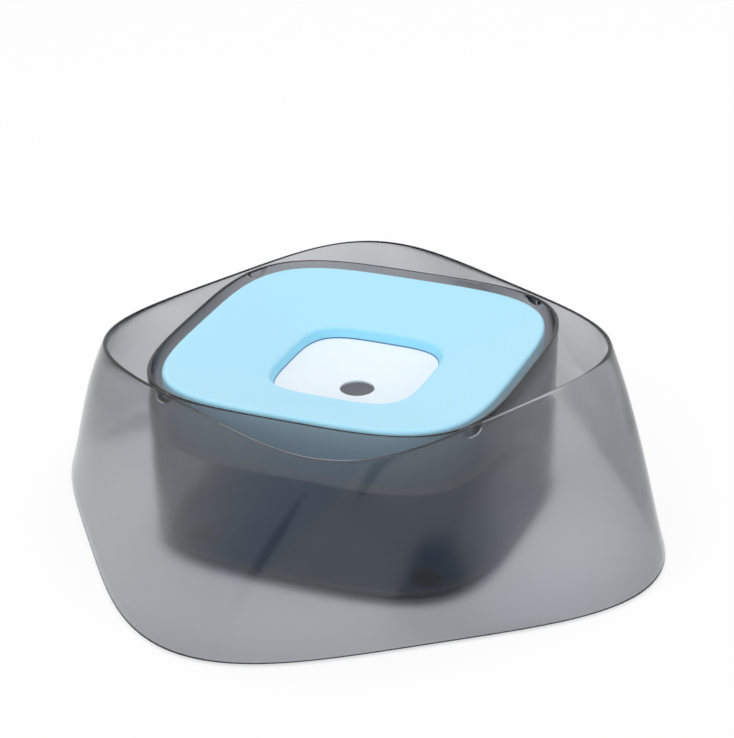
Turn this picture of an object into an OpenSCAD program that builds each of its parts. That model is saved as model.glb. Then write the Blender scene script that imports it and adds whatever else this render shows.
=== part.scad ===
// No-spill water bowl for a dog: a twisted, double-walled bowl with a floating drinking plate.
// The origin is on the ground under the middle of the bowl, and +Z is up.

/* [Skirt] */
// Width of the skirt's foot across its flat sides
skirt_foot_across = 260; // [245:1:300]
// Height of the skirt from its foot to its rim
skirt_height = 85; // [70:1:110]
// Exponent of the skirt's outline at its foot: 2 is a circle, and more is squarer
skirt_foot_exponent = 3.8; // [3:0.1:6]
// Exponent of the skirt's outline at its rim
skirt_rim_exponent = 4.1; // [3:0.1:6]
// Turn of the rim against the foot, in degrees
skirt_twist = 27; // [15:1:35]
// How the turn gathers towards the rim: 1 is even, and more is later
twist_gather = 1.3; // [1:0.1:2]

/* [Bowl] */
// Width of the inner bowl's rim across its flat sides
bowl_across = 169; // [150:1:180]
// Exponent of the inner bowl's outline
bowl_exponent = 3.75; // [3:0.05:5]
// Turn of the inner bowl against the skirt's rim, in degrees
bowl_twist = 26; // [18:1:32]
// Drop of the inner bowl's rim below the skirt's rim
bowl_drop = 0.5; // [0:0.1:3]
// How far each side of the inner bowl draws in from rim to floor
bowl_draft = 1.5; // [0.5:0.1:3]
// Radius of the inner bowl's lower outside edge
bowl_edge_radius = 6.4; // [4:0.2:10]
// Thickness of the moulded walls
wall = 2.4; // [1.6:0.1:3]
// Thickness of the inner bowl's floor
bowl_floor = 2.8; // [2.4:0.1:4]
// Depth to which the inner bowl's corners sink into the skirt's rim
rim_merge = 0.5; // [0.3:0.1:1]
// Width of each land that joins bowl and skirt at a corner
land_width = 12; // [8:0.5:14]
// Depth of each land below the rims
land_depth = 4; // [3:0.5:8]

/* [Float] */
// Gap between the float and the wall of the inner bowl, at the rim
float_gap = 3.9; // [3.2:0.1:6]
// Drop of the full float's upper edge below the bowl's rim
float_drop = 1; // [0.5:0.1:5]
// Height of the float from its underside to its upper edge
float_height = 31.4; // [29:0.1:36]
// Exponent of the float's outline
float_exponent = 3.9; // [3:0.1:5]
// Radius along the float's upper and lower edges
float_edge_radius = 1.8; // [1:0.1:2.4]
// Wall of the float's upper shell
cover_wall = 1.8; // [1.2:0.1:2.2]
// Wall of the float's lower shell
base_wall = 1.6; // [1.2:0.1:2]
// Height of the band of the lower shell that shows on the float's side
base_band = 5; // [4:0.1:8]
// Height of the lower shell's tongue inside the upper shell
tongue_height = 4; // [2:0.1:6]

/* [Drinking dish] */
// Width of the opening in the upper shell across its flat sides
opening_across = 70; // [56:1:90]
// Fall of the upper shell from its edge to the opening
plate_fall = 9.9; // [7:0.1:11]
// Radius of the opening's lip
lip_radius = 2.6; // [1.6:0.1:3.2]
// Depth of the opening's wall
opening_depth = 5.2; // [4:0.1:6]
// How far the opening's wall leans in from its lip to its foot
opening_lean = 1; // [0.5:0.1:2]
// Fall of the dish from the opening's wall to the hole
dish_fall = 7.8; // [6:0.1:9]
// Diameter of the drinking hole
hole_d = 16; // [10:0.5:22]

/* [Feet] */
// Diameter of each rubber foot
foot_d = 14; // [10:0.5:20]
// Distance of each foot's rim from the edge of the flat underside
foot_inset = 6; // [4:0.5:12]
// Height of each foot below the moulding
foot_proud = 1; // [0.6:0.1:2]
// Depth of each foot's seat in the bowl's floor
foot_seat = 1.2; // [0.8:0.1:1.4]

/* [Fits] */
// Gap between the two shells of the float where they join
shell_gap = 0.15; // [0.1:0.05:0.3]
// Gap around each foot in its seat
foot_gap = 0.1; // [0.05:0.05:0.2]

/* [Detail] */
// Sides of each lofted outline
around = 80; // [64:8:96]

/* [Hidden] */

quarter = 90;
slab = 0.4;
skirt_levels = 7;
arc_steps = 3;
rim_steps = 4;

skirt_z = foot_proud;
skirt_top = skirt_z + skirt_height;
bowl_z = foot_proud;
bowl_top = skirt_top - bowl_drop;
bowl_half = bowl_across / 2;
bowl_turn = skirt_twist + bowl_twist;
bowl_inner_radius = bowl_edge_radius - wall;

// A bowl corner touches the flat side of the skirt's rim, which sets the width of that rim.
touch_dual = bowl_exponent / (bowl_exponent - 1);
touch_reach = bowl_half * pow(
    pow(cos(bowl_twist), touch_dual) + pow(sin(bowl_twist), touch_dual),
    1 / touch_dual
);
skirt_rim_half = touch_reach + wall - rim_merge;
touch_angle = atan(pow(tan(quarter - bowl_twist), 1 / (bowl_exponent - 1)));
touch_turn = bowl_turn - quarter + touch_angle;

float_half = bowl_half - wall - float_gap;
float_top = bowl_top - float_drop;
float_z = float_top - float_height;
seam_z = float_z + base_band;

opening_half = opening_across / 2;
lip_z = float_top - plate_fall;
dish_half = opening_half - opening_lean;
dish_z = lip_z - opening_depth;
hole_r = hole_d / 2;
hole_z = dish_z - dish_fall;

foot_r = foot_d / 2;
foot_reach = reach(
    bowl_half - bowl_draft - bowl_edge_radius, bowl_exponent, quarter / 2
) - foot_inset - foot_r;

// Value between a and b at the share t
function lerp(a, b, t) = a + (b - a) * t;

// Distance from the centre to a rounded square of half width half, at an angle from its flat side
function reach(half, square, angle) =
    half / pow(pow(abs(cos(angle)), square) + pow(abs(sin(angle)), square), 1 / square);

// One outline of a loft: a rounded square at height z, turned about the centre
function ring(half, square, turn, z) = [
    for (i = [0 : around - 1])
        let (angle = 360 * i / around, r = reach(half, square, angle))
        [r * cos(angle + turn), r * sin(angle + turn), z]
];

// Points [half width, height] along an arc
function bend(half, z, radius, start, end, steps = arc_steps) = [
    for (k = [0 : steps])
        let (angle = lerp(start, end, k / steps))
        [half + radius * cos(angle), z + radius * sin(angle)]
];

// Skin over a list of outlines, closed by flat ends or looped back to the first outline
module loft(rings, looped = false) {
    count = len(rings);
    last = (count - 1) * around;
    sides = [
        for (j = [0 : count - (looped ? 1 : 2)])
            for (i = [0 : around - 1])
                let (
                    next = (i + 1) % around,
                    above = ((j + 1) % count) * around,
                    a = j * around + i,
                    b = j * around + next,
                    c = above + i,
                    d = above + next
                )
                each [[a, c, b], [b, c, d]]
    ];
    ends = looped ? [] : [
        [for (i = [0 : around - 1]) i],
        [for (i = [around - 1 : -1 : 0]) last + i],
    ];
    polyhedron([for (r = rings) each r], concat(sides, ends), 4);
}

// Share of the skirt's height at z, from 0 at its foot to 1 at its rim
function skirt_share(z) = (z - skirt_z) / skirt_height;
function skirt_half(z) = lerp(skirt_foot_across / 2, skirt_rim_half, skirt_share(z));
function skirt_exponent(z) = lerp(skirt_foot_exponent, skirt_rim_exponent, skirt_share(z));
function skirt_turn(z) = skirt_twist * pow(skirt_share(z), twist_gather);
function skirt_ring(p) =
    ring(skirt_half(p[1]) - p[0], skirt_exponent(p[1]), skirt_turn(p[1]), p[1]);

// Half width of the inner bowl's outside at height z
function bowl_side(z) = bowl_half - bowl_draft * (bowl_top - z) / (bowl_top - bowl_z);

// Radii at a land, at the height z, out to the bowl's outer face and the skirt's inner face
function land_start(z) = reach(bowl_side(z), bowl_exponent, touch_turn - bowl_turn);
function land_end(z) =
    reach(skirt_half(z) - wall, skirt_exponent(z), touch_turn - skirt_turn(z));

// Outer wall: it flares and turns from the rim down to the foot
module skirt() {
    r = wall / 2;
    low = skirt_z + r;
    high = skirt_top - r;
    rise = [for (k = [1 : skirt_levels - 1]) lerp(low, high, k / skirt_levels)];
    drop = [for (k = [skirt_levels - 1 : -1 : 1]) lerp(low, high, k / skirt_levels)];
    profile = concat(
        [for (p = bend(r, low, r, 270, 360)) [wall - p[0], p[1]]],
        [for (z = rise) [0, z]],
        [for (p = bend(r, high, r, 0, 180, rim_steps)) [wall - p[0], p[1]]],
        [for (z = drop) [wall, z]],
        [[wall, low]]
    );
    loft([for (p = profile) skirt_ring(p)], looped = true);
}

// Inner bowl: a cup with rounded lower edges and a rounded rim
module cup() {
    r = wall / 2;
    out = bowl_half - bowl_draft;
    floor_z = bowl_z + bowl_floor;
    profile = concat(
        bend(out - bowl_edge_radius, bowl_z + bowl_edge_radius, bowl_edge_radius, 270, 360),
        bend(bowl_half - r, bowl_top - r, r, 0, 180, rim_steps),
        bend(
            out - wall - bowl_inner_radius, floor_z + bowl_inner_radius,
            bowl_inner_radius, 360, 270
        )
    );
    loft([for (p = profile) ring(p[0], bowl_exponent, bowl_turn, p[1])]);
}

// Thin block across the gap between bowl and skirt, with its ends inside both walls
module land_slab(z, width) {
    start = land_start(z) - wall / 2;
    translate([start, -width / 2, z])
        cube([land_end(z) + wall / 2 - start, width, slab]);
}

// Land at one corner of the bowl, flush with the rims and narrower towards its underside
module land() {
    top = bowl_top - wall / 3 - slab;
    levels = [top, top - land_depth * 0.5, top - land_depth];
    widths = [land_width, land_width * 0.85, land_width * 0.4];
    rotate([0, 0, touch_turn])
        for (k = [0 : 1])
            hull() {
                land_slab(levels[k], widths[k]);
                land_slab(levels[k + 1], widths[k + 1]);
            }
}

// Places its children at one of the bowl's four corners
module at_corner(number, turn) {
    rotate([0, 0, turn + quarter * number])
        children();
}

// Skirt, inner bowl and lands in one moulding, with seats for the feet
module bowl_body() {
    color([0.42, 0.45, 0.49, 0.55])
        difference() {
            union() {
                skirt();
                cup();
                for (number = [0 : 3])
                    at_corner(number, 0)
                        land();
            }
            for (number = [0 : 3])
                at_corner(number, bowl_turn + quarter / 2)
                    translate([foot_reach, 0, bowl_z - 1])
                        cylinder(h = foot_seat + 1, r = foot_r + foot_gap, $fn = 48);
        }
}

// Exponent of the float's outline at a half width, which falls to a circle at the drinking hole
function float_shape(half) = half >= dish_half ? float_exponent :
    lerp(2, float_exponent, (half - hole_r) / (dish_half - hole_r));
function float_ring(p) = ring(p[0], float_shape(p[0]), bowl_turn, p[1]);

// Upper shell: side wall, dished plate and the wall of the opening
module float_cover() {
    r = float_edge_radius;
    lip = lip_radius;
    lean = opening_lean / opening_depth;
    inner = float_half - cover_wall;
    foot_z = dish_z + shell_gap;
    profile = concat(
        [[float_half, seam_z]],
        bend(float_half - r, float_top - r, r, 0, 80),
        bend(opening_half + lip, lip_z - lip, lip, 100, 166, rim_steps),
        [
            [dish_half, foot_z],
            [dish_half + cover_wall, foot_z],
            [opening_half + cover_wall - lean * lip, lip_z - lip],
            [opening_half + cover_wall + lip, lip_z - cover_wall],
            [inner - r, float_top - cover_wall],
            [inner, float_top - cover_wall - r],
            [inner, seam_z],
        ]
    );
    color([0.62, 0.88, 0.98])
        loft([for (p = profile) float_ring(p)], looped = true);
}

// Lower shell: floor, tongue, riser and the dish with its hole
module float_base() {
    r = float_edge_radius;
    lean = opening_lean / opening_depth;
    tongue = float_half - cover_wall - shell_gap;
    floor_z = float_z + base_wall;
    socket = dish_half + cover_wall + shell_gap;
    socket_rise = opening_depth / 2;
    socket_top = socket + lean * socket_rise;
    riser = socket + opening_lean;
    profile = concat(
        bend(float_half - r, float_z + r, r, 270, 360),
        [
            [float_half, seam_z - shell_gap],
            [tongue, seam_z - shell_gap],
            [tongue, seam_z + tongue_height],
            [tongue - base_wall, seam_z + tongue_height],
            [tongue - base_wall, floor_z],
            [riser + base_wall, floor_z],
            [socket_top + base_wall, dish_z + socket_rise],
            [socket_top, dish_z + socket_rise],
            [socket, dish_z],
            [dish_half, dish_z],
            [lerp(dish_half, hole_r, 0.5), lerp(dish_z, hole_z, 0.56)],
            [hole_r + 1, hole_z + 0.2],
            [hole_r, hole_z - 0.8],
            [hole_r, hole_z - base_wall],
            [lerp(dish_half, hole_r, 0.5), lerp(dish_z, hole_z, 0.56) - base_wall],
            [dish_half, dish_z - base_wall],
            [riser, float_z],
        ]
    );
    color([0.93, 0.96, 1])
        loft([for (p = profile) float_ring(p)], looped = true);
}

// Round rubber foot with a domed edge, pressed into its seat
module grip_foot(number) {
    edge = foot_proud / 2;
    color([0.2, 0.21, 0.23])
        at_corner(number, bowl_turn + quarter / 2)
            translate([foot_reach, 0, 0])
                rotate_extrude($fn = 48)
                    polygon([
                        [0, 0], [foot_r - edge, 0], [foot_r, edge],
                        [foot_r, foot_proud + foot_seat - foot_gap],
                        [0, foot_proud + foot_seat - foot_gap],
                    ]);
}

bowl_body();
float_cover();
float_base();
grip_foot(0);  // grip_foot_1
grip_foot(1);  // grip_foot_2
grip_foot(2);  // grip_foot_3
grip_foot(3);  // grip_foot_4
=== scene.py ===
"""The looks of a no-spill dog water bowl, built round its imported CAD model.

The bowl is one smoke-grey moulding: a twisted, flared skirt with a rounded-square inner bowl whose corners
merge into the skirt's rim. A two-shell float with a drinking dish rides in it. All lengths are in metres, +Z
is up, and the origin is on the ground under the middle of the bowl.
"""

from __future__ import annotations

import logging
import math
from collections.abc import Mapping, Sequence
from dataclasses import dataclass, field
from enum import Enum

import bpy
import numpy as np
from mathutils import Matrix, Vector

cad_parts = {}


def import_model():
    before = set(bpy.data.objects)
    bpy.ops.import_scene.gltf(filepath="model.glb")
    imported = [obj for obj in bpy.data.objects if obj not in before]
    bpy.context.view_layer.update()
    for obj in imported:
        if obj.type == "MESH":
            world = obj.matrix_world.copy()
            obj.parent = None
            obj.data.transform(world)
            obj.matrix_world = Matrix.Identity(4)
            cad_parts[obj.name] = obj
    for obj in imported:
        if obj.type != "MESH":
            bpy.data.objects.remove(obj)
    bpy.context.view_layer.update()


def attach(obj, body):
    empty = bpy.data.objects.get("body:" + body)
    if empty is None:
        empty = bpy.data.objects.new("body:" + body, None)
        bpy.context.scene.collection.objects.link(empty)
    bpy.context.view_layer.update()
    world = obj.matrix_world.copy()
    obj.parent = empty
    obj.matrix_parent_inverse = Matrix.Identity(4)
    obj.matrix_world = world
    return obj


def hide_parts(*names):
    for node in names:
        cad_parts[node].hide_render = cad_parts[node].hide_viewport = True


LOG = logging.getLogger("water_bowl")
MM = 0.001
QUARTER = math.pi / 2
CIRCLE = 2.0
CORNERS = 4
PHOTO_WIDTH = 734
PHOTO_HEIGHT = 738
SENSOR_MM = 36.0
# The Mix node's sockets for colours are named like those for numbers, so they go by their place.
MIX_SHARE, MIX_FIRST, MIX_SECOND, MIX_RESULT = 0, 6, 7, 2

Colour = tuple[float, float, float]
Profile = list[tuple[float, float]]

WHITE: Colour = (1.0, 1.0, 1.0)


class Sock:
    """A shader socket whose arithmetic adds Math nodes."""

    def __init__(self, graph: Graph, socket: bpy.types.NodeSocket) -> None:
        """Keep the graph and the socket."""
        self.graph = graph
        self.socket = socket

    def _math(self, operation: str, first: Sock | float, second: Sock | float) -> Sock:
        """Add one Math node and return its result."""
        made = self.graph.node("ShaderNodeMath", {"operation": operation}, {0: first, 1: second})
        return self.graph.out(made, "Value")

    def __add__(self, other: Sock | float) -> Sock:
        """Return self + other."""
        return self._math("ADD", self, other)

    def __radd__(self, other: Sock | float) -> Sock:
        """Return other + self."""
        return self._math("ADD", other, self)

    def __sub__(self, other: Sock | float) -> Sock:
        """Return self - other."""
        return self._math("SUBTRACT", self, other)

    def __rsub__(self, other: Sock | float) -> Sock:
        """Return other - self."""
        return self._math("SUBTRACT", other, self)

    def __mul__(self, other: Sock | float) -> Sock:
        """Return self * other."""
        return self._math("MULTIPLY", self, other)

    def __rmul__(self, other: Sock | float) -> Sock:
        """Return other * self."""
        return self._math("MULTIPLY", other, self)

    def __pow__(self, other: Sock | float) -> Sock:
        """Return self to the power of other."""
        return self._math("POWER", self, other)

    def __rpow__(self, other: Sock | float) -> Sock:
        """Return other to the power of self."""
        return self._math("POWER", other, self)

    def highest(self, other: Sock | float) -> Sock:
        """Return the larger of self and other."""
        return self._math("MAXIMUM", self, other)

    def size(self) -> Sock:
        """Return self without its sign."""
        return self._math("ABSOLUTE", self, 0.0)


class Graph:
    """The node tree of one material or world, built by calls."""

    def __init__(self, tree: bpy.types.NodeTree) -> None:
        """Take over a tree and empty it.

        Args:
            tree: the node tree to build in.
        """
        self.tree = tree
        tree.nodes.clear()

    def node(
        self,
        kind: str,
        settings: Mapping[str, object] | None = None,
        inputs: Mapping[str | int, object] | None = None,
    ) -> bpy.types.Node:
        """Add a node.

        Args:
            kind: the node's type.
            settings: its properties, which are set first.
            inputs: values or links of its sockets, by name or number.

        Returns:
            The new node.
        """
        made = self.tree.nodes.new(kind)
        for name, value in (settings or {}).items():
            setattr(made, name, value)
        for key, value in (inputs or {}).items():
            if isinstance(value, Sock):
                self.tree.links.new(value.socket, made.inputs[key])
            else:
                made.inputs[key].default_value = value
        return made

    def out(self, made: bpy.types.Node, name: str | int) -> Sock:
        """Return one output of a node."""
        return Sock(self, made.outputs[name])

    def place(self) -> Sock:
        """Return the position in the object's own metres."""
        return self.out(self.node("ShaderNodeTexCoord"), "Object")

    def noise(self, scale: float, octaves: float, roughness: float = 0.5) -> Sock:
        """Add a noise over the object.

        Args:
            scale: how many features lie in a metre.
            octaves: number of finer layers.
            roughness: strength of the finer octaves.

        Returns:
            The noise, from 0 to 1.
        """
        inputs = {"Vector": self.place(), "Scale": scale, "Detail": octaves, "Roughness": roughness}
        return self.out(self.node("ShaderNodeTexNoise", None, inputs), "Fac")

    def mix_colours(self, share: Sock | float, first: object, second: object) -> Sock:
        """Blend two colours through a Mix node.

        Args:
            share: how much of the second colour shows.
            first: the first colour, a value or a link.
            second: the second colour, a value or a link.

        Returns:
            The blended colour.
        """
        inputs = {MIX_SHARE: share, MIX_FIRST: first, MIX_SECOND: second}
        return self.out(self.node("ShaderNodeMix", {"data_type": "RGBA"}, inputs), MIX_RESULT)

    def mix_shaders(
        self, share: Sock | float, first: bpy.types.Node, second: bpy.types.Node
    ) -> bpy.types.Node:
        """Blend two shaders.

        Args:
            share: how much of the second shader shows.
            first: the first shader.
            second: the second shader.

        Returns:
            The blended shader.
        """
        inputs = {0: share, 1: self.out(first, 0), 2: self.out(second, 0)}
        return self.node("ShaderNodeMixShader", None, inputs)

    def shown(self) -> Sock:
        """Tell which rays see the studio as the camera does.

        Returns:
            1 for camera, glossy and transmission rays, and 0 for those that only carry light.
        """
        path = self.node("ShaderNodeLightPath")
        direct = self.out(path, "Is Camera Ray").highest(self.out(path, "Is Glossy Ray"))
        return direct.highest(self.out(path, "Is Transmission Ray"))

    def bump(self, height: Sock, share: float) -> Sock:
        """Turn a height into a normal.

        Args:
            height: the height, in metres.
            share: share of the effect.

        Returns:
            The normal.
        """
        inputs = {"Height": height, "Distance": 1.0, "Strength": share}
        return self.out(self.node("ShaderNodeBump", None, inputs), "Normal")

    def vector(self, operation: str, first: object, second: object, result: str) -> Sock:
        """Add a Vector Math node.

        Args:
            operation: what it works out.
            first: its first vector, a value or a link.
            second: its second vector, a value or a link.
            result: name of the output to return.

        Returns:
            The result.
        """
        made = self.node("ShaderNodeVectorMath", {"operation": operation}, {0: first, 1: second})
        return self.out(made, result)

    def ramp(self, value: Sock, low: float, high: float) -> Sock:
        """Rise smoothly from 0 to 1 between two values.

        Args:
            value: what is measured.
            low: where the rise starts.
            high: where it ends.

        Returns:
            The rise.
        """
        inputs = {"Value": value, "From Min": low, "From Max": high}
        made = self.node("ShaderNodeMapRange", {"interpolation_type": "SMOOTHSTEP"}, inputs)
        return self.out(made, "Result")

    def beyond(self, outline: RoundedSquare, soft: float) -> Sock:
        """Tell where a surface lies beyond an upright rounded square.

        Args:
            outline: the rounded square.
            soft: width over which the change runs.

        Returns:
            0 inside the outline and 1 outside it.
        """
        inputs = {"Vector": self.place(), "Angle": -outline.turn}
        turned = self.node("ShaderNodeVectorRotate", {"rotation_type": "Z_AXIS"}, inputs)
        parts = self.node("ShaderNodeSeparateXYZ", None, {0: self.out(turned, 0)})
        x, y = (self.out(parts, name).size() * (1 / outline.half) for name in ("X", "Y"))
        reach = (x**outline.squareness + y**outline.squareness) ** (1 / outline.squareness)
        edge = soft / outline.half / 2
        return self.ramp(reach, 1 - edge, 1 + edge)

    def surface(self, shader: bpy.types.Node, inside: bpy.types.Node | None = None) -> None:
        """Lead the shaders to the output.

        Args:
            shader: the surface's shader.
            inside: the shader of what the surface encloses, if any.
        """
        inputs = {"Surface": self.out(shader, 0)}
        if inside is not None:
            inputs["Volume"] = self.out(inside, 0)
        self.node("ShaderNodeOutputMaterial", None, inputs)


def rgba(colour: Colour) -> tuple[float, float, float, float]:
    """Return a colour with full alpha."""
    return (*colour, 1.0)


def new_material(name: str) -> tuple[bpy.types.Material, Graph]:
    """Make an empty node material.

    Args:
        name: the material's name.

    Returns:
        The material and its graph.
    """
    material = bpy.data.materials.new(name)
    material.use_nodes = True
    return material, Graph(material.node_tree)


@dataclass(frozen=True)
class SmokedPlastic:
    """Clear plastic, smoke grey right through, with a faintly hazy surface."""

    name: str = "smoked_plastic"
    skin: Colour = (0.89, 0.894, 0.9)
    cloud_skin: Colour = (0.86, 0.866, 0.876)
    smoke: Colour = (0.05, 0.075, 0.15)
    density: float = 205.0
    index: float = 1.49
    roughness: float = 0.13
    roughness_spread: float = 0.05
    cloud_scale: float = 9.0
    cloud_octaves: float = 3.0
    grain_scale: float = 1400.0
    grain_octaves: float = 1.0
    grain_depth: float = 0.004 * MM
    flow_scale: float = 26.0
    flow_octaves: float = 1.0
    flow_depth: float = 0.4 * MM
    bump_share: float = 0.35
    lamp_pass: Colour = (0.95, 0.955, 0.96)

    def material(self) -> bpy.types.Material:
        """Build the material.

        Returns:
            The finished material.
        """
        material, graph = new_material(self.name)
        cloud = graph.noise(self.cloud_scale, self.cloud_octaves)
        grain = graph.noise(self.grain_scale, self.grain_octaves)
        flow = graph.noise(self.flow_scale, self.flow_octaves)
        height = flow * self.flow_depth + grain * self.grain_depth
        inputs = {
            "Base Color": graph.mix_colours(cloud, rgba(self.skin), rgba(self.cloud_skin)),
            "Roughness": cloud * self.roughness_spread + (self.roughness - self.roughness_spread / 2),
            "IOR": self.index,
            "Transmission Weight": 1.0,
            "Normal": graph.bump(height, self.bump_share),
        }
        shader = graph.node("ShaderNodeBsdfPrincipled", None, inputs)
        # Light from the lamps passes the skin, and the smoke inside dims it.
        passed = graph.node("ShaderNodeBsdfTransparent", None, {"Color": rgba(self.lamp_pass)})
        lamps = graph.out(graph.node("ShaderNodeLightPath"), "Is Shadow Ray")
        inside = {"Color": rgba(self.smoke), "Density": self.density}
        smoke = graph.node("ShaderNodeVolumeAbsorption", None, inside)
        graph.surface(graph.mix_shaders(lamps, shader, passed), smoke)
        return material


@dataclass(frozen=True)
class Zone:
    """A ring of a skin with a tone of its own, which stands for painted light and shade, and which ends at
    its top if one is given.
    """

    colour: Colour
    inner: RoundedSquare
    outer: RoundedSquare
    top: float = 1.0
    soft: float = 1.0 * MM

    def share(self, graph: Graph) -> Sock:
        """Tell how far a place lies in the ring, below its top.

        Args:
            graph: the material's graph.

        Returns:
            0 outside and 1 inside.
        """
        parts = graph.node("ShaderNodeSeparateXYZ", None, {0: graph.place()})
        above = graph.ramp(graph.out(parts, "Z"), self.top - self.soft, self.top)
        return graph.beyond(self.inner, self.soft) * (1 - graph.beyond(self.outer, self.soft)) * (1 - above)


@dataclass(frozen=True)
class SatinPlastic:
    """Opaque moulded plastic with a satin skin."""

    name: str
    colour: Colour
    shade: Colour
    index: float = 1.5
    roughness: float = 0.36
    roughness_spread: float = 0.08
    cloud_scale: float = 22.0
    cloud_octaves: float = 4.0
    grain_scale: float = 2600.0
    grain_octaves: float = 2.0
    grain_depth: float = 0.03 * MM
    flow_scale: float = 45.0
    flow_octaves: float = 1.0
    flow_depth: float = 0.08 * MM
    bump_share: float = 0.5
    depth: float = 0.5
    depth_reach: tuple[float, float, float] = (8.0 * MM, 11.0 * MM, 13.0 * MM)
    zones: tuple[Zone, ...] = ()

    def tone(self, graph: Graph, cloud: Sock) -> Sock:
        """Colour the skin and its zones of painted light and shade.

        Args:
            graph: the material's graph.
            cloud: the slow change over the skin.

        Returns:
            The colour.
        """
        colour = graph.mix_colours(cloud, rgba(self.colour), rgba(self.shade))
        for zone in self.zones:
            colour = graph.mix_colours(zone.share(graph), colour, rgba(zone.colour))
        return colour

    def material(self) -> bpy.types.Material:
        """Build the material.

        Returns:
            The finished material.
        """
        material, graph = new_material(self.name)
        cloud = graph.noise(self.cloud_scale, self.cloud_octaves)
        grain = graph.noise(self.grain_scale, self.grain_octaves)
        flow = graph.noise(self.flow_scale, self.flow_octaves)
        height = flow * self.flow_depth + grain * self.grain_depth
        inputs = {
            "Base Color": self.tone(graph, cloud),
            "Roughness": cloud * self.roughness_spread + (self.roughness - self.roughness_spread / 2),
            "IOR": self.index,
            "Subsurface Weight": self.depth,
            "Subsurface Radius": self.depth_reach,
            "Normal": graph.bump(height, self.bump_share),
        }
        graph.surface(graph.node("ShaderNodeBsdfPrincipled", None, inputs))
        return material


@dataclass(frozen=True)
class FootRubber:
    """Dark matt rubber."""

    name: str = "foot_rubber"
    colour: Colour = (0.1, 0.104, 0.112)
    dust: Colour = (0.14, 0.142, 0.148)
    dust_share: float = 0.6
    roughness: float = 0.72
    roughness_spread: float = 0.1
    cloud_scale: float = 160.0
    cloud_octaves: float = 4.0
    cloud_roughness: float = 0.6
    grain_scale: float = 1800.0
    grain_octaves: float = 2.0
    grain_depth: float = 0.05 * MM
    bump_share: float = 0.8

    def material(self) -> bpy.types.Material:
        """Build the material.

        Returns:
            The finished material.
        """
        material, graph = new_material(self.name)
        cloud = graph.noise(self.cloud_scale, self.cloud_octaves, self.cloud_roughness)
        grain = graph.noise(self.grain_scale, self.grain_octaves)
        inputs = {
            "Base Color": graph.mix_colours(cloud * self.dust_share, rgba(self.colour), rgba(self.dust)),
            "Roughness": cloud * self.roughness_spread + self.roughness,
            "Normal": graph.bump(grain * self.grain_depth, self.bump_share),
        }
        graph.surface(graph.node("ShaderNodeBsdfPrincipled", None, inputs))
        return material


@dataclass(frozen=True)
class RoundedSquare:
    """A square with rounded sides and corners, as a superellipse: a squareness of 2 gives a circle."""

    half: float
    squareness: float
    turn: float = 0.0

    def reach(self, angle: np.ndarray | float) -> np.ndarray | float:
        """Measure from the centre to the outline.

        Args:
            angle: direction, from the middle of the flat side.

        Returns:
            The distance, or an array of them.
        """
        across = np.abs(np.cos(angle)) ** self.squareness
        along = np.abs(np.sin(angle)) ** self.squareness
        return self.half / (across + along) ** (1 / self.squareness)

    def ring(self, z: float, around: int) -> np.ndarray:
        """Sample the outline.

        Args:
            z: height of the outline.
            around: number of points.

        Returns:
            The points, one a row, counter-clockwise from above.
        """
        angle = np.arange(around) * 2 * math.pi / around
        radius = self.reach(angle)
        turned = angle + self.turn
        return np.stack([radius * np.cos(turned), radius * np.sin(turned), np.full(around, z)], 1)


def bend(half: float, z: float, radius: float, start: float, end: float, steps: int = 10) -> Profile:
    """Points of a section along an arc.

    Args:
        half: half width at the arc's centre.
        z: height of the arc's centre.
        radius: the arc's radius.
        start: first angle in degrees, 0 outwards and 90 up.
        end: last angle in degrees.
        steps: number of stretches.

    Returns:
        Half width and height of each point.
    """
    angles = np.radians(np.linspace(start, end, steps + 1))
    return [(half + radius * math.cos(a), z + radius * math.sin(a)) for a in angles]


def stretch(first: tuple[float, float], last: tuple[float, float], steps: int) -> Profile:
    """Points strictly between two points of a section.

    Args:
        first: the point before.
        last: the point after.
        steps: number of stretches between them.

    Returns:
        The points between.
    """
    shares = [k / steps for k in range(1, steps)]
    return [tuple(a + (b - a) * s for a, b in zip(first, last)) for s in shares]


def lerp(first: float, last: float, share: float) -> float:
    """Return the value at a share of the way from first to last."""
    return first + (last - first) * share


def skin(name: str, rings: Sequence[np.ndarray], looped: bool) -> bpy.types.Object:
    """Cover a list of outlines with a mesh.

    Args:
        name: the object's name.
        rings: outlines with the same number of points.
        looped: whether the last outline joins the first, or flat ends close it.

    Returns:
        The object, linked to the scene.
    """
    around = len(rings[0])
    count = len(rings)
    column = np.arange(around)
    beside = (column + 1) % around
    faces: list[Sequence[int]] = []
    for j in range(count if looped else count - 1):
        low = j * around
        high = (j + 1) % count * around
        faces += np.stack([low + column, low + beside, high + beside, high + column], 1).tolist()
    if not looped:
        faces.append(column[::-1].tolist())
        faces.append((column + (count - 1) * around).tolist())
    return mesh_object(name, np.concatenate(rings), faces)


def mesh_object(name: str, points: np.ndarray, faces: Sequence[Sequence[int]]) -> bpy.types.Object:
    """Make a mesh object.

    Args:
        name: its name.
        points: its vertices, one a row.
        faces: its faces.

    Returns:
        The object, linked to the scene.
    """
    mesh = bpy.data.meshes.new(name)
    mesh.from_pydata(points.tolist(), [], faces)
    mesh.update()
    made = bpy.data.objects.new(name, mesh)
    bpy.context.scene.collection.objects.link(made)
    return made


def smooth(piece: bpy.types.Object, crease: float = 40.0) -> None:
    """Shade a piece smooth except across sharp edges.

    Args:
        piece: the piece.
        crease: angle in degrees from which an edge is sharp.
    """
    mesh = piece.data
    mesh.polygons.foreach_set("use_smooth", [True] * len(mesh.polygons))
    mesh.set_sharp_from_angle(angle=math.radians(crease))


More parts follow.
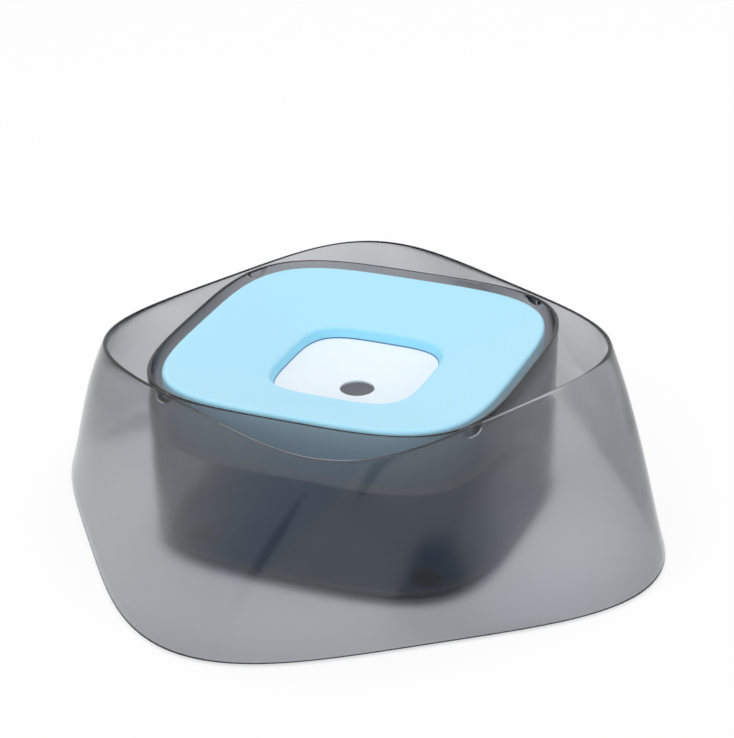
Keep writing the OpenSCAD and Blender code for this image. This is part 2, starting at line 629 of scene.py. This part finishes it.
def united(name: str, pieces: Sequence[bpy.types.Object]) -> bpy.types.Object:
    """Fuse overlapping closed pieces into one mesh.

    Args:
        name: name of the result.
        pieces: the pieces, which are used up.

    Returns:
        The fused piece.
    """
    first, *others = pieces
    for other in others:
        step = first.modifiers.new("union", "BOOLEAN")
        step.operation = "UNION"
        step.solver = "EXACT"
        step.object = other
    bpy.context.view_layer.update()
    graph = bpy.context.evaluated_depsgraph_get()
    mesh = bpy.data.meshes.new_from_object(first.evaluated_get(graph))
    for piece in pieces:
        bpy.data.objects.remove(piece)
    made = bpy.data.objects.new(name, mesh)
    mesh.name = name
    bpy.context.scene.collection.objects.link(made)
    return made


def dress(piece: bpy.types.Object, material: bpy.types.Material, body: str, slot: str, *nodes: str) -> None:
    """Give a piece its finish and its body, and hide the CAD nodes that it stands for.

    Args:
        piece: the piece.
        material: its material.
        body: the CAD body that it moves with.
        slot: the record's material slot, which is not used.
        nodes: the CAD nodes that it replaces.
    """
    piece.data.materials.clear()
    piece.data.materials.append(material)
    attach(piece, body)
    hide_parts(*nodes)


@dataclass
class SmokedBowl:
    """Skirt, inner bowl and lands in one moulding."""

    foot_z: float = 1.0 * MM
    skirt_height: float = 85.0 * MM
    skirt_foot_half: float = 129.97 * MM
    skirt_foot_square: float = 3.8
    skirt_rim_square: float = 4.1
    skirt_twist: float = math.radians(27)
    twist_gather: float = 1.3
    bowl_half: float = 84.5 * MM
    bowl_square: float = 3.75
    bowl_twist: float = math.radians(26)
    bowl_drop: float = 0.5 * MM
    bowl_draft: float = 1.5 * MM
    bowl_edge_radius: float = 6.4 * MM
    wall: float = 2.4 * MM
    rim_wall: float = 1.6 * MM
    rim_taper: float = 30.0 * MM
    floor: float = 2.8 * MM
    rim_merge: float = 0.5 * MM
    land_width: float = 12.0 * MM
    land_depth: float = 4.0 * MM
    land_round: float = 0.96
    # How finely the mesh is drawn, and the angle in degrees from which an edge stays sharp.
    around: int = 240
    levels: int = 32
    land_levels: int = 9
    taper_steps: int = 4
    cup_steps: int = 6
    crease: float = 32.0
    finish: SmokedPlastic = field(default_factory=SmokedPlastic)

    @property
    def skirt_top(self) -> float:
        """Height of the skirt's rim."""
        return self.foot_z + self.skirt_height

    @property
    def bowl_top(self) -> float:
        """Height of the inner bowl's rim."""
        return self.skirt_top - self.bowl_drop

    @property
    def bowl_turn(self) -> float:
        """Turn of the inner bowl against the skirt's foot."""
        return self.skirt_twist + self.bowl_twist

    @property
    def skirt_rim_half(self) -> float:
        """Half width of the skirt's rim.

        Returns:
            The half width at which the bowl's corners touch the rim's flat sides.
        """
        # A superellipse reaches as far in a direction as the dual exponent gives.
        dual = self.bowl_square / (self.bowl_square - 1)
        share = math.cos(self.bowl_twist) ** dual + math.sin(self.bowl_twist) ** dual
        return self.bowl_half * share ** (1 / dual) + self.wall - self.rim_merge

    @property
    def touch_turn(self) -> float:
        """Direction in which a bowl corner touches the skirt."""
        slope = math.tan(QUARTER - self.bowl_twist) ** (1 / (self.bowl_square - 1))
        return self.bowl_turn - QUARTER + math.atan(slope)

    def skirt_outline(self, inset: float, z: float) -> RoundedSquare:
        """Outline of the skirt at a height.

        Args:
            inset: distance inside the outer face.
            z: the height.

        Returns:
            The outline.
        """
        share = (z - self.foot_z) / self.skirt_height
        half = lerp(self.skirt_foot_half, self.skirt_rim_half, share) - inset
        square = lerp(self.skirt_foot_square, self.skirt_rim_square, share)
        return RoundedSquare(half, square, self.skirt_twist * max(share, 0) ** self.twist_gather)

    def cup_outline(self, half: float) -> RoundedSquare:
        """Outline of the inner bowl at a half width."""
        return RoundedSquare(half, self.bowl_square, self.bowl_turn)

    def bowl_outline(self, z: float) -> RoundedSquare:
        """Outline of the inner bowl's outer face at a height."""
        fall = self.bowl_draft * (self.bowl_top - z) / (self.bowl_top - self.foot_z)
        return self.cup_outline(self.bowl_half - fall)

    def skirt(self) -> bpy.types.Object:
        """Build the skirt.

        Returns:
            Its closed shell, thinner towards the rim.
        """
        r, rim_r = self.wall / 2, self.rim_wall / 2
        low, high = self.foot_z + r, self.skirt_top - rim_r
        # A point of the section is a distance inside the outer face, and a height.
        foot = [(self.wall - h, z) for h, z in bend(r, low, r, 180, 360)]
        rim = [(self.rim_wall - h, z) for h, z in bend(rim_r, high, rim_r, 0, 180)]
        full = (self.wall, high - self.rim_taper)
        taper = [*stretch(rim[-1], full, self.taper_steps), full]
        outside = stretch(foot[-1], rim[0], self.levels)
        profile = foot + outside + rim + taper + stretch(full, foot[0], self.levels)
        rings = [self.skirt_outline(h, z).ring(z, self.around) for h, z in profile]
        return skin("skirt", rings, looped=True)

    def cup(self) -> bpy.types.Object:
        """Build the inner bowl.

        Returns:
            The bowl, with its floor and a wall thinner towards the rim.
        """
        r = self.rim_wall / 2
        out = self.bowl_half - self.bowl_draft
        edge = self.bowl_edge_radius
        inner_edge = edge - self.wall
        floor_z = self.foot_z + self.floor
        inner = out - self.wall
        outside = bend(out - edge, self.foot_z + edge, edge, 270, 360)
        rim = bend(self.bowl_half - r, self.bowl_top - r, r, 0, 180)
        inside = bend(inner - inner_edge, floor_z + inner_edge, inner_edge, 360, 270)
        up = stretch(outside[-1], rim[0], self.cup_steps)
        full_z = rim[-1][1] - self.rim_taper
        full = (self.bowl_outline(full_z).half - self.wall, full_z)
        taper = [*stretch(rim[-1], full, self.taper_steps), full]
        profile = outside + up + rim + taper + stretch(full, inside[0], self.cup_steps) + inside
        rings = [self.cup_outline(h).ring(z, self.around) for h, z in profile]
        return skin("cup", rings, looped=False)

    def land(self, number: int) -> bpy.types.Object:
        """Build the land that joins bowl and skirt at one corner.

        Args:
            number: which corner, from 0 to 3.

        Returns:
            The land, with its ends inside both walls and a rounded underside.
        """
        top = self.bowl_top - self.wall / 3
        touch = self.touch_turn
        levels = self.land_levels
        points = []
        for k in range(levels):
            share = math.sin(QUARTER * k / (levels - 1))
            z = top - self.land_depth * share
            y = self.land_width / 2 * math.sqrt(1 - self.land_round * share * share)
            skirt = self.skirt_outline(self.wall, z)
            start = self.bowl_outline(z).reach(touch - self.bowl_turn) - self.wall / 2
            end = skirt.reach(touch - skirt.turn) + self.wall / 2
            points += [(start, -y, z), (end, -y, z), (end, y, z), (start, y, z)]
        last = 4 * (levels - 1)
        faces = [(0, 1, 2, 3), (last + 3, last + 2, last + 1, last)]
        for k in range(levels - 1):
            for i in range(4):
                a, b = 4 * k + i, 4 * k + (i + 1) % 4
                faces.append((a, a + 4, b + 4, b))
        turn = np.array(Matrix.Rotation(touch + number * QUARTER, 3, "Z"))
        return mesh_object("land", np.array(points) @ turn.T, faces)

    def build(self) -> bpy.types.Object:
        """Build and dress the moulding.

        Returns:
            The finished piece.
        """
        pieces = [self.skirt(), self.cup()] + [self.land(number) for number in range(CORNERS)]
        piece = united("smoked_bowl", pieces)
        smooth(piece, self.crease)
        dress(piece, self.finish.material(), "bowl", "smoked_plastic", "bowl_body")
        return piece


@dataclass
class DrinkingFloat:
    """The float: a dished blue upper shell on a white lower shell with the drinking dish."""

    bowl: SmokedBowl
    gap: float = 3.9 * MM
    drop: float = 1.0 * MM
    height: float = 31.4 * MM
    squareness: float = 3.9
    edge_radius: float = 1.8 * MM
    cover_wall: float = 1.8 * MM
    base_wall: float = 1.6 * MM
    band: float = 5.0 * MM
    shell_gap: float = 0.15 * MM
    line_gap: float = 0.35 * MM
    opening_half: float = 35.0 * MM
    plate_fall: float = 9.9 * MM
    opening_depth: float = 5.2 * MM
    opening_lean: float = 1.0 * MM
    lip_radius: float = 2.6 * MM
    dish_fall: float = 7.8 * MM
    dish_share: float = 0.97
    dish_bow: float = 0.2
    hole_radius: float = 8.0 * MM
    hole_border: float = 1.0 * MM
    hole_edge: float = 0.8 * MM
    hole_round: float = 0.5 * MM
    hole_back_round: float = 0.3 * MM
    hole_thinning: float = 10.0 * MM
    foot_radius: float = 1.6 * MM
    tongue_rise: float = 4.0 * MM
    # How finely the mesh is drawn.
    around: int = 240
    side_steps: int = 4
    edge_steps: int = 16
    plate_steps: int = 14
    lip_steps: int = 12
    back_steps: int = 8
    back_plate_steps: int = 6
    dish_steps: int = 18
    hole_steps: int = 6
    hole_back_steps: int = 4
    # Where the zones of painted light and shade begin and end.
    recess_start: float = 10.0 * MM
    recess_margin: float = 0.5 * MM
    side_light_skin: float = 1.2 * MM
    side_light_margin: float = 9.0 * MM
    gap_shadow_skin: float = 0.3 * MM
    gap_shadow_margin: float = 2.4 * MM
    gap_shadow_soft: float = 0.3 * MM
    # Tones of both shells, and of the painted bounce light, side light and gap shadow.
    blue: Colour = (0.42, 0.765, 0.96)
    blue_shade: Colour = (0.41, 0.755, 0.95)
    # Painted blue bounce light on the opening's lip and wall.
    recess_bounce_blue: Colour = (0.33, 0.75, 0.99)
    white: Colour = (0.82, 0.89, 0.97)
    white_shade: Colour = (0.81, 0.88, 0.96)
    # Painted shadow of the gap at the foot of the opening's wall.
    gap_shadow_blue: Colour = (0.12, 0.3, 0.56)
    # Painted light on the float's side, in a paler blue.
    side_light_blue: Colour = (0.62, 0.84, 0.99)

    @property
    def half(self) -> float:
        """Half width of the float."""
        return self.bowl.bowl_half - self.bowl.wall - self.gap

    @property
    def top(self) -> float:
        """Height of the float's upper edge."""
        return self.bowl.bowl_top - self.drop

    @property
    def seam(self) -> float:
        """Height of the seam between the shells on the float's side."""
        return self.top - self.height + self.band

    @property
    def lip_z(self) -> float:
        """Height of the opening's lip."""
        return self.top - self.plate_fall

    @property
    def dish_z(self) -> float:
        """Height of the dish at the opening's wall."""
        return self.lip_z - self.opening_depth

    @property
    def dish_half(self) -> float:
        """Half width of the dish at the opening's wall."""
        return self.opening_half - self.opening_lean

    def outline(self, half: float) -> RoundedSquare:
        """Outline of the float at a half width."""
        return RoundedSquare(half, self.squareness, self.bowl.bowl_turn)

    def rings(self, profile: Profile) -> list[np.ndarray]:
        """Turn a section into outlines, which become round towards the drinking hole.

        Args:
            profile: half width and height of each point.

        Returns:
            The outlines.
        """
        rings = []
        for half, z in profile:
            share = (half - self.hole_radius) / (self.dish_half - self.hole_radius)
            square = lerp(CIRCLE, self.squareness, min(max(share, 0.0), 1.0))
            rings.append(RoundedSquare(half, square, self.bowl.bowl_turn).ring(z, self.around))
        return rings

    def cover(self) -> bpy.types.Object:
        """Build the blue upper shell.

        Returns:
            The shell.
        """
        r, lip, t = self.edge_radius, self.lip_radius, self.cover_wall
        run = self.half - self.opening_half - r - lip
        slope = math.degrees(math.atan2(self.plate_fall, run))
        lean = math.degrees(math.atan2(self.opening_lean, self.opening_depth))
        foot_z = self.dish_z + self.line_gap
        edge_at = (self.half - r, self.top - r)
        rim_at = (self.opening_half + lip, self.lip_z - lip)
        edge = bend(*edge_at, r, 0, 90 + slope, self.edge_steps)
        rim = bend(*rim_at, lip, 90 + slope, 180 - lean, self.lip_steps)
        back_rim = bend(*rim_at, lip - t, 180 - lean, 90 + slope, self.back_steps)
        back_edge = bend(*edge_at, r - t, 90 + slope, 0, self.back_steps)
        # Side, edge, plate and lip, then down the opening's wall and back along the inner faces.
        profile = [
            (self.half, self.seam),
            *stretch((self.half, self.seam), edge[0], self.side_steps),
            *edge,
            *stretch(edge[-1], rim[0], self.plate_steps),
            *rim,
            (self.dish_half, foot_z),
            (self.dish_half + t, foot_z),
            *back_rim,
            *stretch(back_rim[-1], back_edge[0], self.back_plate_steps),
            *back_edge,
            (self.half - t, self.seam),
        ]
        piece = skin("float_plate", self.rings(profile), looped=True)
        smooth(piece)
        return piece

    def dish_curve(self) -> Profile:
        """Points of the dish's upper face, from the opening's wall to the hole.

        Returns:
            Half width and height of each point.
        """
        points = []
        for k in range(self.dish_steps + 1):
            share = k / self.dish_steps
            half = lerp(self.dish_half, self.hole_radius + self.hole_border, share)
            fall = self.dish_fall * self.dish_share * share * (1 + self.dish_bow - self.dish_bow * share)
            points.append((half, self.dish_z - fall))
        return points

    def dish_wall(self, half: float) -> float:
        """Thickness of the dish at a half width, thinner towards the hole."""
        share = min(1.0, (half - self.hole_radius) / self.hole_thinning)
        return lerp(self.hole_edge, self.base_wall, share)

    def base(self) -> bpy.types.Object:
        """Build the white lower shell.

        Returns:
            The shell, with the drinking dish and its hole.
        """
        r, t = self.foot_radius, self.base_wall
        bottom = self.top - self.height
        tongue = self.half - self.cover_wall - self.shell_gap
        tongue_z = self.seam + self.tongue_rise
        socket = self.dish_half + self.cover_wall + self.shell_gap
        rise = self.opening_depth / 2
        socket_top = socket + self.opening_lean / 2
        riser = socket + self.opening_lean
        hole_z = self.dish_z - self.dish_fall
        hole, front, back = self.hole_radius, self.hole_round, self.hole_back_round
        dish = self.dish_curve()
        under = [(h, z - self.dish_wall(h)) for h, z in dish]
        # Side, tongue inside the cover, ring chamber, socket round the opening's wall, dish, hole and back.
        profile = [
            *bend(self.half - r, bottom + r, r, 270, 360),
            (self.half, self.seam - self.shell_gap),
            (tongue, self.seam - self.shell_gap),
            (tongue, tongue_z),
            (tongue - t, tongue_z),
            (tongue - t, bottom + t),
            (riser + t, bottom + t),
            (socket_top + t, self.dish_z + rise),
            (socket_top, self.dish_z + rise),
            (socket, self.dish_z),
            *dish,
            *bend(hole + front, hole_z - front / 2, front, 80, 180, self.hole_steps),
            *bend(hole + back, hole_z - self.hole_edge, back, 180, 260, self.hole_back_steps),
            *under[::-1],
            (riser, bottom),
        ]
        piece = skin("float_dish", self.rings(profile), looped=True)
        smooth(piece)
        return piece

    def zone(self, colour: Colour, inner: float, outer: float, **more: float) -> Zone:
        """Make a zone between two half widths, with its top or softness if given."""
        return Zone(colour, self.outline(inner), self.outline(outer), **more)

    def build(self) -> list[bpy.types.Object]:
        """Build and dress both shells.

        Returns:
            The finished pieces.
        """
        half, dish_half = self.half, self.dish_half
        edge = self.top - self.edge_radius
        # Painted blue bounce light: the opening's lip and wall take a deeper blue.
        recess_bounce = self.zone(self.recess_bounce_blue, self.recess_start, self.opening_half + self.recess_margin)
        # Painted light: the float's side below its rounded edge is paler.
        side = self.zone(self.side_light_blue, half - self.side_light_skin, half + self.side_light_margin, top=edge)
        # Painted shadow: a dark blue line on the dish where the opening's wall stands on it.
        inner, outer = dish_half - self.gap_shadow_skin, dish_half + self.gap_shadow_margin
        gap_shadow = self.zone(self.gap_shadow_blue, inner, outer, soft=self.gap_shadow_soft)
        blue = SatinPlastic("pale_blue_plastic", self.blue, self.blue_shade, zones=(recess_bounce, side))
        white = SatinPlastic("white_plastic", self.white, self.white_shade, zones=(gap_shadow,))
        plate = self.cover()
        dish = self.base()
        dress(plate, blue.material(), "float", "pale_blue_plastic", "float_cover")
        dress(dish, white.material(), "float", "white_plastic", "float_base")
        return [plate, dish]


@dataclass
class GripFeet:
    """Four rubber feet, sunk a little into the underside of the inner bowl."""

    bowl: SmokedBowl
    radius: float = 7.0 * MM
    inset: float = 6.0 * MM
    sink: float = 1.1 * MM
    groove_middles: tuple[float, float] = (2.4 * MM, 4.6 * MM)
    groove_depth: float = 0.3 * MM
    groove_mouth: float = 0.5 * MM
    groove_floor: float = 0.25 * MM
    chamfer: float = 0.2 * MM
    # How finely the mesh is drawn.
    edge_steps: int = 6
    around: int = 64
    finish: FootRubber = field(default_factory=FootRubber)

    @property
    def reach(self) -> float:
        """Place of the feet.

        Returns:
            Distance of each foot's middle from the bowl's middle.
        """
        flat = self.bowl.bowl_half - self.bowl.bowl_draft - self.bowl.bowl_edge_radius
        corner = RoundedSquare(flat, self.bowl.bowl_square).reach(QUARTER / 2)
        return float(corner) - self.inset - self.radius

    def foot(self, number: int) -> bpy.types.Object:
        """Build one foot with a rounded edge and two grip rings.

        Args:
            number: which foot, from 0 to 3.

        Returns:
            The foot.
        """
        r = self.radius
        edge = self.bowl.foot_z / 2
        top = self.bowl.foot_z + self.sink
        profile: Profile = []
        for middle in self.groove_middles:
            profile += [
                (middle - self.groove_mouth, 0.0),
                (middle - self.groove_floor, self.groove_depth),
                (middle + self.groove_floor, self.groove_depth),
                (middle + self.groove_mouth, 0.0),
            ]
        profile += bend(r - edge, edge, edge, 270, 360, self.edge_steps)
        profile += [(r, top - self.chamfer), (r - self.chamfer, top)]
        rings = [RoundedSquare(h, CIRCLE).ring(z, self.around) for h, z in profile]
        piece = skin(f"grip_pad_{number + 1}", rings, looped=False)
        turn = self.bowl.bowl_turn + QUARTER / 2 + QUARTER * number
        place = Vector((self.reach * math.cos(turn), self.reach * math.sin(turn), 0))
        piece.data.transform(Matrix.Translation(place))
        smooth(piece)
        return piece

    def build(self) -> list[bpy.types.Object]:
        """Build and dress all four feet.

        Returns:
            The finished feet.
        """
        rubber = self.finish.material()
        feet = [self.foot(number) for number in range(CORNERS)]
        for number, foot in enumerate(feet):
            dress(foot, rubber, "bowl", "foot_rubber", f"grip_foot_{number + 1}")
        return feet


@dataclass(frozen=True)
class SoftLamp:
    """A square lamp: its place and side in metres, its power in watts and the point that it is turned to."""

    place: tuple[float, float, float]
    side: float
    power: float
    aim: tuple[float, float, float] = (0.0, 0.0, 0.04)

    def build(self, name: str) -> bpy.types.Object:
        """Hang the lamp, which lights the object and isn't mirrored in it.

        Args:
            name: the lamp's name.

        Returns:
            The lamp.
        """
        data = bpy.data.lights.new(name, "AREA")
        data.shape = "SQUARE"
        data.size = self.side
        data.energy = self.power
        made = bpy.data.objects.new(data.name, data)
        made.location = self.place
        aim = Vector(self.aim) - Vector(self.place)
        made.rotation_euler = aim.to_track_quat("-Z", "Y").to_euler()
        made.visible_glossy = False
        made.visible_transmission = False
        bpy.context.scene.collection.objects.link(made)
        return made


class Lamp(Enum):
    """The studio's soft lamps."""

    TOP = SoftLamp((0.0, 0.3, 1.6), 1.6, 13.8)
    FRONT = SoftLamp((-0.5, -1.5, 0.6), 1.2, 10.0)
    LEFT = SoftLamp((-1.5, -0.3, 0.9), 1.0, 4.0)
    RIGHT = SoftLamp((1.5, 0.2, 0.9), 1.0, 3.0)


@dataclass(frozen=True)
class DimCard:
    """A curved card that stands round the bowl and is seen only in reflections, where it paints a dim
    reflection.

    Its middle and width are in degrees round the bowl, its lowest and highest edge in degrees up, and its
    distance in metres. Its glow fades out from a share of the way to its edges.
    """

    middle: float
    width: float
    low: float
    high: float
    away: float
    glow: Colour
    fade_start: float = 0.5
    steps: int = 12

    @property
    def heights(self) -> list[float]:
        """Heights of the card's lower and upper edge."""
        return [math.tan(math.radians(elevation)) * self.away for elevation in (self.low, self.high)]

    def material(self, name: str) -> bpy.types.Material:
        """Build the glow, through which transmitted rays pass.

        Args:
            name: the material's name.

        Returns:
            The finished material.
        """
        material, graph = new_material(name)
        low, high = self.heights
        angle = math.radians(self.middle)
        centre = (self.away * math.cos(angle), self.away * math.sin(angle), (low + high) / 2)
        half_width = self.away * math.radians(self.width) / 2
        size = (half_width, half_width, (high - low) / 2)
        offset = graph.vector("SUBTRACT", graph.place(), centre, "Vector")
        scaled = graph.vector("DIVIDE", offset, size, "Vector")
        reach = graph.vector("LENGTH", scaled, (0.0, 0.0, 0.0), "Value")
        faded = graph.ramp(reach, self.fade_start, 1.0)
        through = graph.out(graph.node("ShaderNodeLightPath"), "Is Transmission Ray")
        light = graph.node("ShaderNodeEmission", None, {"Color": rgba(self.glow), "Strength": 1.0})
        gone = graph.node("ShaderNodeBsdfTransparent")
        graph.surface(graph.mix_shaders(faded.highest(through), light, gone))
        return material

    def build(self, name: str) -> bpy.types.Object:
        """Stand the card.

        Args:
            name: the card's name.

        Returns:
            The card.
        """
        away, steps = self.away, self.steps
        first, last = self.middle - self.width / 2, self.middle + self.width / 2
        angles = np.radians(np.linspace(first, last, steps + 1))
        points = [(away * math.cos(a), away * math.sin(a), z) for z in self.heights for a in angles]
        faces = [(k, k + 1, k + steps + 2, k + steps + 1) for k in range(steps)]
        made = mesh_object(name, np.array(points), faces)
        made.data.materials.append(self.material(made.name))
        # Only glossy rays are left, and the material lets those through that were also transmitted.
        for ray in ("camera", "diffuse", "transmission", "volume_scatter", "shadow"):
            setattr(made, f"visible_{ray}", False)
        return made


class Card(Enum):
    """The studio's dim cards."""

    # Each card paints a dim reflection into the smoked plastic: RIDGE a dark stripe along the skirt's ridge,
    # CORNER a dark patch low at the front right, ROOM dimmer, bluish surroundings to the front and sides.
    RIDGE = DimCard(226.0, 17.0, 2.0, 24.0, 1.6, (0.1, 0.1, 0.12))
    CORNER = DimCard(288.0, 26.0, -5.0, 14.0, 0.5, (0.0, 0.0, 0.0))
    ROOM = DimCard(250.0, 190.0, 0.2, 42.0, 1.8, (0.64, 0.78, 0.93))


@dataclass
class Studio:
    """White surroundings, soft lamps, dim cards and the photograph's camera."""

    bowl: SmokedBowl
    # The camera, fitted to the outlines in the photograph.
    azimuth: float = math.radians(-14.52)
    elevation: float = math.radians(26.23)
    distance: float = 1.1644
    focal_pixels: float = 2519.84
    target: tuple[float, float, float] = (0.00452, -0.00117, 0.0715)
    roll: float = -0.0128
    # The floor, and the light that falls on the object from all sides.
    floor_half: float = 6.0
    floor_drop: float = 0.02 * MM
    floor_colour: Colour = (0.95, 0.95, 0.95)
    ambient: float = 0.42
    # How brightly the floor shows from place to place, and how softly that changes: painted shadow round the
    # bowl and painted blue shade under it.
    floor_glow: float = 0.88
    shaded_glow: float = 0.43
    back_glow: float = 0.0
    under_glow: float = 0.45
    under_shade_blue: Colour = (0.02, 0.18, 0.41)
    back_fade: tuple[float, float] = (92.0 * MM, 106.0 * MM)
    front_fade: tuple[float, float] = (60.0 * MM, 125.0 * MM)
    front_shade: float = 0.11
    bowl_soft: float = 8.0 * MM
    skirt_soft: float = 6.0 * MM
    blue_shade_inset: float = 5.0 * MM
    blue_shade_soft: float = 2.0 * MM
    under_inset: float = 10.0 * MM
    under_soft: float = 8.0 * MM

    def world(self) -> None:
        """Light the scene from all sides, with white behind the object."""
        world = bpy.data.worlds.new("studio")
        bpy.context.scene.world = world
        world.use_nodes = True
        graph = Graph(world.node_tree)
        # The surroundings show white, while the light that they cast is the ambient share.
        strength = graph.shown() * (1.0 - self.ambient) + self.ambient
        light = graph.node("ShaderNodeBackground", None, {"Color": rgba(WHITE), "Strength": strength})
        graph.node("ShaderNodeOutputWorld", None, {"Surface": graph.out(light, 0)})

    def glow_share(self, graph: Graph) -> Sock:
        """Tell how far the floor glows at a place.

        Args:
            graph: the floor's graph.

        Returns:
            Its glow beyond the skirt, under the bowl, and between the two, where it fades to back and front
            as painted shadow of the bowl.
        """
        bowl = self.bowl
        foot = bowl.cup_outline(bowl.bowl_half - bowl.bowl_draft)
        beside_bowl = graph.beyond(foot, self.bowl_soft)
        beyond_skirt = graph.beyond(bowl.skirt_outline(bowl.wall / 2, bowl.foot_z), self.skirt_soft)
        under = 1 - graph.beyond(bowl.cup_outline(foot.half - self.under_inset), self.under_soft)
        parts = graph.node("ShaderNodeSeparateXYZ", None, {0: graph.place()})
        behind = graph.ramp(graph.out(parts, "Y"), *self.back_fade)
        ahead = graph.ramp(graph.out(parts, "Y") * -1.0, *self.front_fade)
        # Painted shadow: the glow is lowered between bowl and skirt, gone behind the bowl and less towards
        # the front.
        shaded = behind * (self.back_glow - self.shaded_glow) + self.shaded_glow - ahead * self.front_shade
        away = (beside_bowl - beyond_skirt) * shaded + beyond_skirt * self.floor_glow
        return away + under * self.under_glow

    def floor_material(self) -> bpy.types.Material:
        """Build the floor's finish: lit from above, clear from below, and with a glow where it is seen,
        which paints shadow round the bowl and blue shade under it.

        Returns:
            The finished material.
        """
        material, graph = new_material("studio_floor")
        # Painted blue shade under the bowl: inside this outline the glow turns dark blue.
        tinted = self.bowl.cup_outline(self.bowl.bowl_half - self.bowl.bowl_draft - self.blue_shade_inset)
        blue = 1 - graph.beyond(tinted, self.blue_shade_soft)
        tint = graph.mix_colours(blue, rgba(WHITE), rgba(self.under_shade_blue))
        lit = graph.node("ShaderNodeBsdfDiffuse", None, {"Color": rgba(self.floor_colour)})
        glow = graph.node("ShaderNodeEmission", None, {"Color": tint, "Strength": 1.0})
        top = graph.mix_shaders(graph.shown() * self.glow_share(graph), lit, glow)
        below = graph.out(graph.node("ShaderNodeNewGeometry"), "Backfacing")
        graph.surface(graph.mix_shaders(below, top, graph.node("ShaderNodeBsdfTransparent")))
        return material

    def floor(self) -> bpy.types.Object:
        """Lay the pale floor, which shows white and keeps the bowl's shadow, with more shadow painted into
        its glow.

        Returns:
            The floor.
        """
        h = self.floor_half
        z = -self.floor_drop
        points = np.array([(-h, -h, z), (h, -h, z), (h, h, z), (-h, h, z)])
        floor = mesh_object("floor", points, [(0, 1, 2, 3)])
        floor.data.materials.append(self.floor_material())
        return floor

    def camera(self) -> None:
        """Stand the camera where the photograph's was."""
        data = bpy.data.cameras.new("camera")
        data.sensor_width = SENSOR_MM
        data.lens = self.focal_pixels * SENSOR_MM / max(PHOTO_WIDTH, PHOTO_HEIGHT)
        back = Vector((
            math.sin(self.azimuth) * math.cos(self.elevation),
            -math.cos(self.azimuth) * math.cos(self.elevation),
            math.sin(self.elevation),
        ))
        made = bpy.data.objects.new("camera", data)
        turn = (-back).to_track_quat("-Z", "Y").to_matrix().to_4x4()
        place = Matrix.Translation(Vector(self.target) + back * self.distance)
        made.matrix_world = place @ turn @ Matrix.Rotation(self.roll, 4, "Z")
        bpy.context.scene.collection.objects.link(made)
        bpy.context.scene.camera = made

    def build(self) -> None:
        """Set up the whole studio."""
        self.world()
        self.floor()
        for lamp in Lamp:
            lamp.value.build(f"lamp_{lamp.name.lower()}")
        for card in Card:
            card.value.build(f"card_{card.name.lower()}")
        self.camera()
        bpy.context.scene.view_settings.view_transform = "Standard"


def main() -> None:
    """Load the frame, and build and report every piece."""
    logging.basicConfig(level=logging.INFO, format="%(name)s: %(message)s")
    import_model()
    bowl = SmokedBowl()
    Studio(bowl).build()
    for piece in (bowl.build(), *DrinkingFloat(bowl).build(), *GripFeet(bowl).build()):
        LOG.info("%s is built, with %d faces", piece.name, len(piece.data.polygons))


if __name__ == "__main__":
    main()
